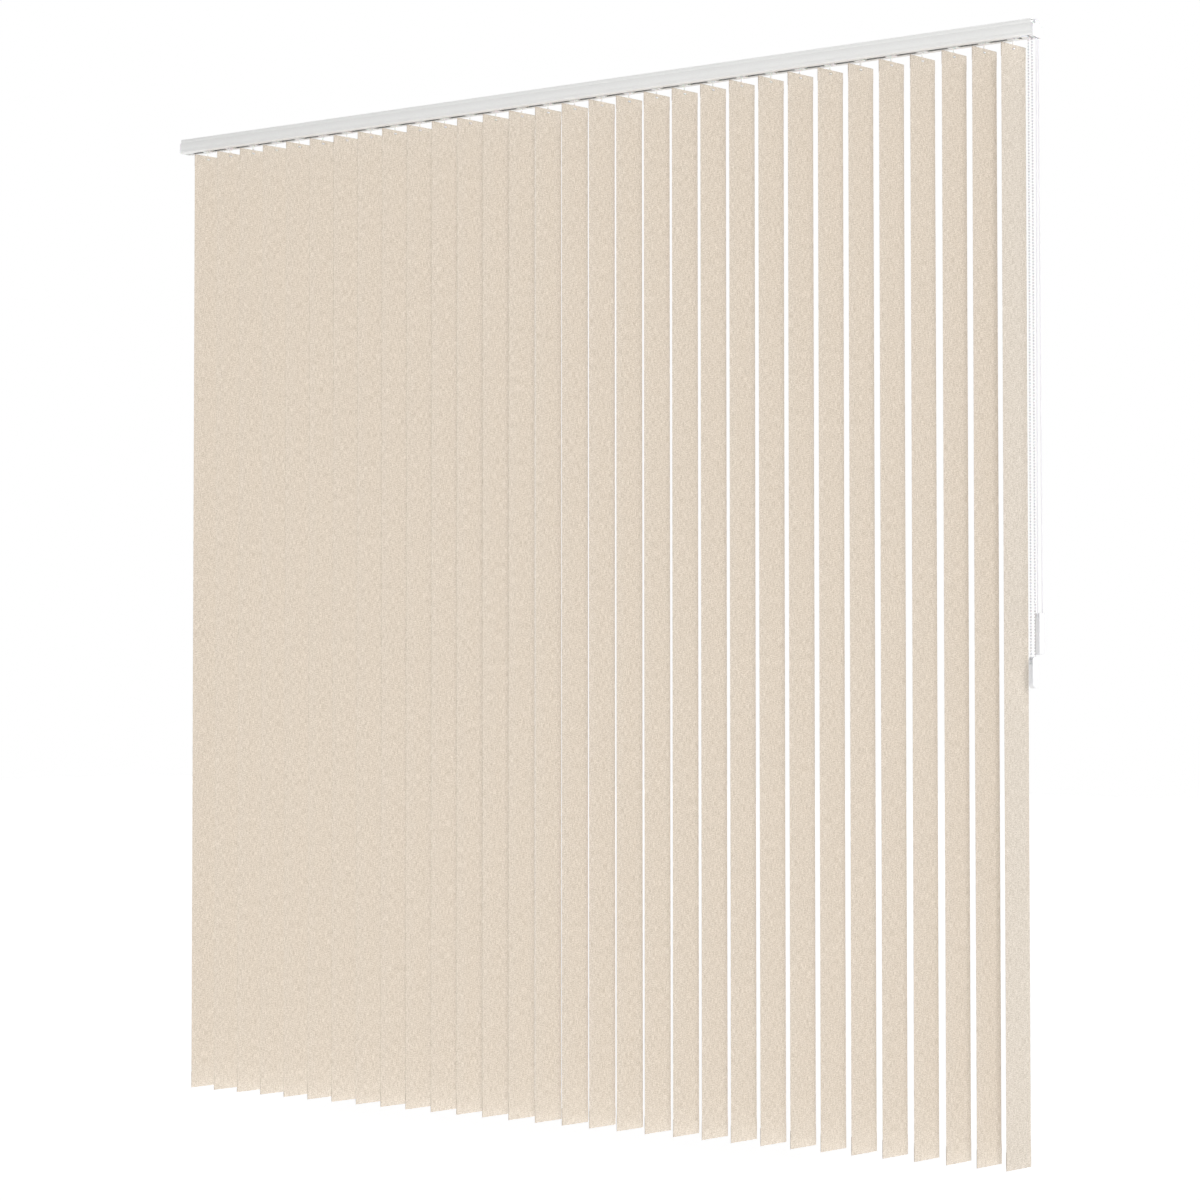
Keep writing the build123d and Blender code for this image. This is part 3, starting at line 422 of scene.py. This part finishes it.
def new_cylinder(vertices, radius, low, high):
    """An upright cylinder on the slat's axis, between two heights."""
    bpy.ops.mesh.primitive_cylinder_add(vertices=vertices, radius=radius, depth=high - low,
                                        location=(0, 0, (low + high) / 2))
    bpy.ops.object.transform_apply(location=True, rotation=True, scale=True)
    return bpy.context.active_object


def new_box(sides, middle):
    """A box with these sides round this middle."""
    bpy.ops.mesh.primitive_cube_add(size=1.0, location=middle)
    box = bpy.context.active_object
    box.scale = sides
    bpy.ops.object.transform_apply(location=True, rotation=True, scale=True)
    return box


def ease_edges(piece, width):
    """Rounds a moulding's sharp edges."""
    ease = piece.modifiers.new("eased edges", "BEVEL")
    ease.width = width
    ease.segments = 2
    ease.limit_method = "ANGLE"
    bpy.ops.object.modifier_apply(modifier=ease.name)


bpy.ops.object.select_all(action="DESELECT")
wheel_top = ROD_HEIGHT + WHEEL_DEPTH / 2
holder_pattern = new_cylinder(WHEEL_TEETH * 4, WHEEL_RADIUS, ROD_HEIGHT - WHEEL_DEPTH / 2, wheel_top)
bpy.ops.object.mode_set(mode="EDIT")
# facets that look closely enough along a tooth's heading grow outwards, and so do sides of earlier teeth
facet_limit = cos(pi / WHEEL_TEETH / 1.9)
for tooth in range(WHEEL_TEETH):
    heading = 2 * pi * (tooth + 0.25) / WHEEL_TEETH
    outward = Vector((cos(heading), sin(heading), 0))
    select_faces(holder_pattern, lambda face: face.normal.dot(outward) > facet_limit)
    bpy.ops.mesh.extrude_region_move(TRANSFORM_OT_translate={"value": outward * TOOTH_HEIGHT})
bpy.ops.object.mode_set(mode="OBJECT")
stem = new_cylinder(24, STEM_RADIUS, NECK_BOTTOM, ROD_HEIGHT - STEM_LAP)
pivot = new_cylinder(24, PIVOT_RADIUS, ROD_HEIGHT + STEM_LAP, ROD_HEIGHT + PIVOT_TOP)
# the neck grows backwards into the prong, which widens a little and then tapers below the barb
neck_sides = (NECK_WIDTH, PRONG_BACK, NECK_TOP - NECK_BOTTOM)
prong = new_box(neck_sides, (0, PRONG_BACK / 2, (NECK_TOP + NECK_BOTTOM) / 2))
bpy.ops.object.mode_set(mode="EDIT")
bpy.ops.mesh.select_all(action="SELECT")
bpy.ops.mesh.bisect(plane_co=(0, PRONG_FRONT, 0), plane_no=(0, 1, 0))
select_faces(prong, lambda face: face.normal.z < -0.9 and face.calc_center_median().y > PRONG_FRONT)
for drop, stretch in PRONG_STEPS:
    bpy.ops.mesh.extrude_region_move(TRANSFORM_OT_translate={"value": (0, 0, -drop)})
    bpy.ops.transform.resize(value=(stretch, 1, 1))
bpy.ops.object.mode_set(mode="OBJECT")
ease_edges(prong, 0.0003)
# the barb is a short nose on the prong, sloped on top so that the slat clips over it
barb = new_box((0.0086, 0.0028, 0.0034), (0, -0.0003, SLAT_TOP - EYELET_DROP))
bpy.ops.object.mode_set(mode="EDIT")
select_faces(barb, lambda face: face.normal.y < -0.9)
bpy.ops.transform.resize(value=(0.86, 1, 0.7))
bpy.ops.transform.translate(value=(0, 0, 0.0003))
bpy.ops.object.mode_set(mode="OBJECT")
ease_edges(barb, 0.0004)
bpy.ops.object.select_all(action="DESELECT")
for part in (holder_pattern, stem, pivot, prong, barb):
    part.select_set(True)
bpy.context.view_layer.objects.active = holder_pattern
bpy.ops.object.join()
bpy.ops.object.shade_smooth_by_angle(angle=radians(35))
holder_pattern.data.materials.append(acetal)

# ---- plates in the pockets ----
# The top pocket holds a thin plastic stiffener just below its slot, and the bottom pocket a steel strip
# that keeps the slat hanging straight. Both show only at the pockets' open sides.
PLATE_HALF = 0.042
PLATE_THICK = 0.0007
PLATE_CORNER = 0.003


def pocket_plate(name, low, high, material):
    """A thin plate with rounded corners, made facing front."""
    bpy.ops.object.select_all(action="DESELECT")
    plate = new_box((2 * PLATE_HALF, PLATE_THICK, high - low), (0, 0, (low + high) / 2))
    plate.name = name
    bpy.ops.object.mode_set(mode="EDIT")
    bpy.context.tool_settings.mesh_select_mode = (False, True, False)
    edit = bmesh.from_edit_mesh(plate.data)
    bpy.ops.mesh.select_all(action="DESELECT")
    for edge in edit.edges:
        run = edge.verts[0].co - edge.verts[1].co
        edge.select = abs(run.y) > PLATE_THICK / 2
    bmesh.update_edit_mesh(plate.data)
    bpy.ops.mesh.bevel(offset=PLATE_CORNER, segments=4)
    bpy.ops.object.mode_set(mode="OBJECT")
    plate.data.materials.append(material)
    return plate


hanger_low = SLAT_TOP - TOP_HEM + 0.0045
hanger_pattern = pocket_plate("hanger_pattern", hanger_low, SLAT_TOP - 0.0125, moulded_white)
strip_high = SLAT_BOTTOM + BOTTOM_HEM - 0.0035
strip_pattern = pocket_plate("strip_pattern", SLAT_BOTTOM + 0.0012, strip_high, zinc_plate)
slat_fittings = (
    ("holder", holder_pattern, "acetal"),
    ("hanger", hanger_pattern, "cap_white"),
    ("strip", strip_pattern, "steel"),
)
for i, x in enumerate(slat_places):
    for name, pattern, slot_name in slat_fittings:
        piece = bpy.data.objects.new(f"{name}_{i + 1:02d}", pattern.data.copy())
        bpy.context.scene.collection.objects.link(piece)
        hang(piece, x)
        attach(piece, f"slat_{i + 1:02d}")
for pattern in (cloth_pattern, holder_pattern, hanger_pattern, strip_pattern):
    bpy.data.objects.remove(pattern)

# ---- bead chain ----
# The chain is an endless loop of white acetal balls moulded on a thin cord. It runs over the sprocket in
# the control housing and under the wheel in its weight, which keeps both strands straight.
BEAD_PITCH = 0.0067
BEAD_RADIUS = 0.00225
THREAD_RADIUS = 0.00035
CHAIN_GAPS = 422
CHAIN_X = 1.2425
ROD_Y = -0.0085
SPROCKET_RADIUS = 8 * BEAD_PITCH / (2 * pi)
CHAIN_WHEEL_RADIUS = 10 * BEAD_PITCH / (2 * pi)
CHAIN_WHEEL_HEIGHT = -1.4073
STRAND_LEAN = 0.00003


def route_line(name, points):
    """A smooth open line with these points as its controls."""
    data = bpy.data.curves.new(name, "CURVE")
    data.dimensions = "3D"
    data.resolution_u = 24
    spline = data.splines.new("NURBS")
    spline.points.add(len(points) - 1)
    for point, place in zip(spline.points, points):
        point.co = (*place, 1.0)
    spline.order_u = 3
    spline.use_endpoint_u = True
    line = bpy.data.objects.new(name, data)
    bpy.context.scene.collection.objects.link(line)
    return line


def points_along(line):
    """The points that a line without thickness passes through."""
    mesh = bpy.data.meshes.new_from_object(line)
    points = [vertex.co.copy() for vertex in mesh.vertices]
    bpy.data.meshes.remove(mesh)
    return points


def even_steps(points, count):
    """Places and headings at even distances along a line of points, both ends included."""
    runs = [(b - a).length for a, b in zip(points, points[1:])]
    total = sum(runs)
    found = []
    index, passed = 0, 0.0
    for k in range(count + 1):
        target = total * k / count
        while index < len(runs) - 1 and passed + runs[index] < target:
            passed += runs[index]
            index += 1
        heading = points[index + 1] - points[index]
        share = min(max((target - passed) / max(runs[index], 1e-9), 0.0), 1.0)
        found.append((points[index] + heading * share, heading.normalized()))
    return found


above = ROD_HEIGHT + SPROCKET_RADIUS
below = CHAIN_WHEEL_HEIGHT - CHAIN_WHEEL_RADIUS
chain_route = [
    (CHAIN_X, ROD_Y - 0.0005, above),
    (CHAIN_X, ROD_Y - SPROCKET_RADIUS, above),
    (CHAIN_X, ROD_Y - SPROCKET_RADIUS - STRAND_LEAN, above - 0.018),
    (CHAIN_X, ROD_Y - CHAIN_WHEEL_RADIUS, below + 0.022),
    (CHAIN_X, ROD_Y - CHAIN_WHEEL_RADIUS, below),
    (CHAIN_X, ROD_Y + CHAIN_WHEEL_RADIUS, below),
    (CHAIN_X, ROD_Y + CHAIN_WHEEL_RADIUS, below + 0.022),
    (CHAIN_X, ROD_Y + SPROCKET_RADIUS + STRAND_LEAN, above - 0.018),
    (CHAIN_X, ROD_Y + SPROCKET_RADIUS, above),
    (CHAIN_X, ROD_Y + 0.0005, above),
]
chain_line = route_line("chain_line", chain_route)
chain_points = points_along(chain_line)
chain_steps = even_steps(chain_points, CHAIN_GAPS)
bpy.ops.object.select_all(action="DESELECT")
bpy.ops.mesh.primitive_ico_sphere_add(subdivisions=2, radius=BEAD_RADIUS, location=(0, 0, 0))
bead = bpy.context.active_object
bpy.ops.mesh.primitive_cylinder_add(vertices=6, radius=THREAD_RADIUS, depth=BEAD_PITCH,
                                    location=(0, 0, BEAD_PITCH / 2), end_fill_type="NOTHING")
thread = bpy.context.active_object
bpy.ops.object.transform_apply(location=True, rotation=True, scale=True)
chain_mesh = bmesh.new()
for k, (place, heading) in enumerate(chain_steps):
    turn = heading.to_track_quat("Z", "X").to_matrix().to_4x4()
    links = (bead, thread) if k < CHAIN_GAPS else (bead,)
    for part in links:
        copy = part.data.copy()
        copy.transform(Matrix.Translation(place) @ turn)
        chain_mesh.from_mesh(copy)
        bpy.data.meshes.remove(copy)
chain_data = bpy.data.meshes.new("chain_balls")
chain_mesh.to_mesh(chain_data)
chain_mesh.free()
chain = bpy.data.objects.new("chain_balls", chain_data)
bpy.context.scene.collection.objects.link(chain)
select_only(chain)
bpy.ops.object.shade_smooth_by_angle(angle=radians(50))
for scrap in (bead, thread, chain_line):
    bpy.data.objects.remove(scrap)
chain_gloss = add_grain(
    new_material("glossy_white_acetal", (0.72, 0.72, 0.74), 0.22),
    scale=(900, 900, 900), detail=2.0, colours=((0.69, 0.69, 0.71), (0.75, 0.75, 0.77)),
    rough_range=(0.18, 0.3), bump_mm=0.01,
)
scatter_inside(chain_gloss, 0.1, 0.001)
chain.data.materials.append(chain_gloss)
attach(chain, "headrail")
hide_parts("bead_chain")

# ---- draw cord ----
# The cord is a braided white polyester loop. From the lead carrier it runs to the controls, down round the
# pulley in its weight, up again, back along the rail, round the idler and to the lead carrier's far side.
CORD_RADIUS = 0.00125
CORD_X = 1.2507
CORD_HEIGHT = -0.012
CORD_FRONT = 0.0046
CORD_REAR = 0.014
CORD_MIDDLE = 0.0093
WEIGHT_PULLEY_RADIUS = 0.0115
IDLER_X = -1.24
IDLER_RADIUS = 0.0047
CORD_LOW = -1.3138 - WEIGHT_PULLEY_RADIUS
CORD_BEND = 0.014
IDLER_BEND = 0.0094
lead_x = slat_places[0]
cord_route = [
    (lead_x + 0.006, CORD_FRONT, CORD_HEIGHT),
    (CORD_X - CORD_BEND, CORD_FRONT, CORD_HEIGHT),
    (CORD_X, CORD_FRONT, CORD_HEIGHT),
    (CORD_X, CORD_FRONT - 0.00005, CORD_HEIGHT - CORD_BEND),
    (CORD_X, CORD_MIDDLE - WEIGHT_PULLEY_RADIUS + 0.0001, CORD_LOW + 0.024),
    (CORD_X, CORD_MIDDLE - WEIGHT_PULLEY_RADIUS, CORD_LOW),
    (CORD_X, CORD_MIDDLE + WEIGHT_PULLEY_RADIUS, CORD_LOW),
    (CORD_X, CORD_MIDDLE + WEIGHT_PULLEY_RADIUS - 0.0001, CORD_LOW + 0.024),
    (CORD_X, CORD_REAR + 0.00005, CORD_HEIGHT - CORD_BEND),
    (CORD_X, CORD_REAR, CORD_HEIGHT),
    (CORD_X - CORD_BEND, CORD_REAR, CORD_HEIGHT),
    (IDLER_X - IDLER_RADIUS + IDLER_BEND, CORD_REAR, CORD_HEIGHT),
    (IDLER_X - IDLER_RADIUS, CORD_REAR, CORD_HEIGHT),
    (IDLER_X - IDLER_RADIUS, CORD_FRONT, CORD_HEIGHT),
    (IDLER_X - IDLER_RADIUS + IDLER_BEND, CORD_FRONT, CORD_HEIGHT),
    (lead_x - 0.006, CORD_FRONT, CORD_HEIGHT),
]
cord_line = route_line("cord_line", cord_route)
cord_points = points_along(cord_line)
cord_line.data.bevel_depth = CORD_RADIUS
cord_line.data.bevel_resolution = 2
cord_line.data.use_fill_caps = True
select_only(cord_line)
bpy.ops.object.convert(target="MESH")
cord = bpy.context.active_object
cord.name = "cord_braid"
bpy.ops.object.shade_smooth_by_angle(angle=radians(60))
cord_material = new_material("braided_polyester", (0.8, 0.79, 0.84), 0.7)
tree = cord_material.node_tree
shader = tree.nodes["Principled BSDF"]
shader.inputs["Sheen Weight"].default_value = 0.2
cord_place = tree.nodes.new("ShaderNodeTexCoord")
strands = []
for lean in (1, -1):
    braid = tree.nodes.new("ShaderNodeTexWave")
    braid.wave_type = "BANDS"
    braid.bands_direction = "DIAGONAL"
    braid.inputs["Scale"].default_value = 300.0
    turned = tree.nodes.new("ShaderNodeMapping")
    turned.inputs["Scale"].default_value = (lean, lean, 0.5)
    tree.links.new(cord_place.outputs["Object"], turned.inputs["Vector"])
    tree.links.new(turned.outputs["Vector"], braid.inputs["Vector"])
    strands.append(braid.outputs["Fac"])
crossing = join_values("MAXIMUM", *strands)
cord_tone = tree.nodes.new("ShaderNodeValToRGB")
cord_tone.color_ramp.elements[0].color = (0.78, 0.76, 0.82, 1.0)
cord_tone.color_ramp.elements[1].color = (0.92, 0.91, 0.94, 1.0)
relief = tree.nodes.new("ShaderNodeBump")
relief.inputs["Strength"].default_value = 0.6
relief.inputs["Distance"].default_value = 0.0002
tree.links.new(crossing, cord_tone.inputs["Fac"])
tree.links.new(cord_tone.outputs["Color"], shader.inputs["Base Color"])
tree.links.new(crossing, relief.inputs["Height"])
tree.links.new(relief.outputs["Normal"], shader.inputs["Normal"])
cord.data.materials.clear()
cord.data.materials.append(cord_material)
finish_node("cord_knot", cord_material)
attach(cord, "headrail")
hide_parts("draw_cord")

# ---- weights ----
# Each weight is two white moulded shells clipped round a wheel, its pin and a steel slug. The parting line
# runs down the middle of its edges.
weight_shell = add_grain(
    new_material("weight_moulding", (0.77, 0.77, 0.78), 0.4),
    scale=(1200, 1200, 1200), detail=2.0, colours=((0.75, 0.75, 0.76), (0.79, 0.79, 0.8)),
    rough_range=(0.34, 0.48), bump_mm=0.015,
)
for node in ("chain_weight_shell_left", "chain_weight_shell_right",
             "cord_weight_shell_left", "cord_weight_shell_right"):
    broken_edges(node, node.replace("_shell", "_case"), "headrail", weight_shell, 0.25)

# ---- room, light and camera ----
# A pale studio: a plain floor below the hanging blind, a bright even surround, and broad soft lights in
# front of it and behind it. The camera stands to the right, a little below the blind's middle height.
bpy.ops.object.select_all(action="DESELECT")
FLOOR_HEIGHT = -2.9
bpy.ops.mesh.primitive_plane_add(size=60, location=(0, 0, FLOOR_HEIGHT))
floor = bpy.context.active_object
floor.name = "studio_floor"
floor_white = new_material("studio_white", (0.8, 0.8, 0.8), 0.9)
shader = floor_white.node_tree.nodes["Principled BSDF"]
shader.inputs["Emission Color"].default_value = (1.0, 1.0, 1.0, 1.0)
shader.inputs["Emission Strength"].default_value = 0.6
floor.data.materials.append(floor_white)

world = bpy.data.worlds.new("studio_surround")
world.use_nodes = True
tree = world.node_tree
surround = tree.nodes["Background"]
compass = tree.nodes.new("ShaderNodeTexCoord")
facing = tree.nodes.new("ShaderNodeVectorMath")
facing.operation = "DOT_PRODUCT"
facing.inputs[1].default_value = (-0.57, 0.82, 0.0)
glow = tree.nodes.new("ShaderNodeMapRange")
glow.interpolation_type = "SMOOTHSTEP"
glow.inputs["From Min"].default_value = 0.1
glow.inputs["From Max"].default_value = 0.75
glow.inputs["To Min"].default_value = 0.16
glow.inputs["To Max"].default_value = 1.0
tree.links.new(compass.outputs["Generated"], facing.inputs[0])
tree.links.new(facing.outputs["Value"], glow.inputs["Value"])
tree.links.new(glow.outputs["Result"], surround.inputs["Strength"])
surround.inputs["Color"].default_value = (1.0, 1.0, 1.0, 1.0)
bpy.context.scene.world = world
bpy.context.scene.view_settings.view_transform = "Standard"

for name, energy, heading in (("key_light", 1.45, Vector((-0.58, 0.8, -0.17))),
                              ("rim_light", 1.5, Vector((-0.58, -0.8, -0.14)))):
    sun = bpy.data.lights.new(name, "SUN")
    sun.energy = energy
    sun.angle = radians(14)
    sun_object = bpy.data.objects.new(name, sun)
    sun_object.rotation_euler = heading.to_track_quat("-Z", "Y").to_euler()
    bpy.context.scene.collection.objects.link(sun_object)

camera_data = bpy.data.cameras.new("camera")
camera_data.lens = 87.805
camera_data.sensor_width = 36.0
camera_data.clip_end = 200.0
camera = bpy.data.objects.new("camera", camera_data)
camera.location = (4.0827, -5.7912, -1.4653)
sight = Vector((-0.56725, 0.82299, 0.03031)).to_track_quat("-Z", "Y")
camera.rotation_euler = (sight @ Quaternion((0, 0, 1), -0.00051)).to_euler()
bpy.context.scene.collection.objects.link(camera)
bpy.context.scene.camera = camera
